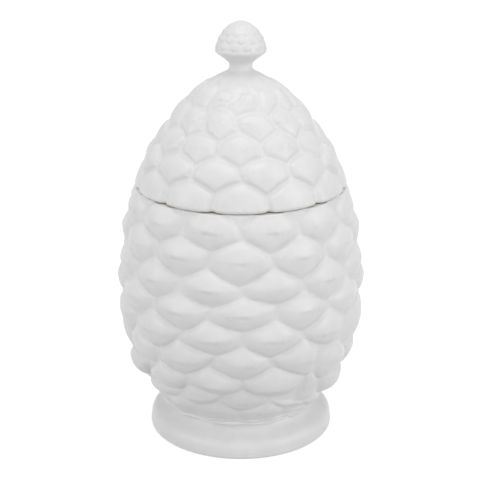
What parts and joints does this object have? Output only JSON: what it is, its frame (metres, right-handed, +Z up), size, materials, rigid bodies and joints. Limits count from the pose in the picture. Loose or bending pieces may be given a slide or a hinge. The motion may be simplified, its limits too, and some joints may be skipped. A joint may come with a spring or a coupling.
{
  "type": "storage jar",
  "caption": "Lidded storage jar of white satin-glazed ceramic, shaped as a pine cone, with a scaled body, a domed lid with a small cone knob, and a round foot.",
  "frame": {"origin": "centre of the foot, on the surface that the jar stands on", "axes": "+Z up along the jar's axis; the front of the jar faces -Y, and +X is to its right"},
  "size_m": [0.1671, 0.1672, 0.28],
  "materials": {
    "jar_glaze": "white satin glaze over slip-cast earthenware",
    "foot_glaze": "white satin glaze, wiped from the ring that it stands on",
    "lid_glaze": "white satin glaze, wiped from the seat and the collar",
    "knob_glaze": "white satin glaze, sponged smooth round the neck"
  },
  "bodies": {
    "jar": {"jar_body": "jar_glaze", "foot_ring": "foot_glaze"},
    "lid_set": {"lid": "lid_glaze", "lid_knob": "knob_glaze"}
  },
  "joints": [
    {"name": "lid_lift", "type": "slide", "parent": "jar", "child": "lid_set", "axis": [0, 0, 1], "range_m": [0, 0.15]}
  ]
}
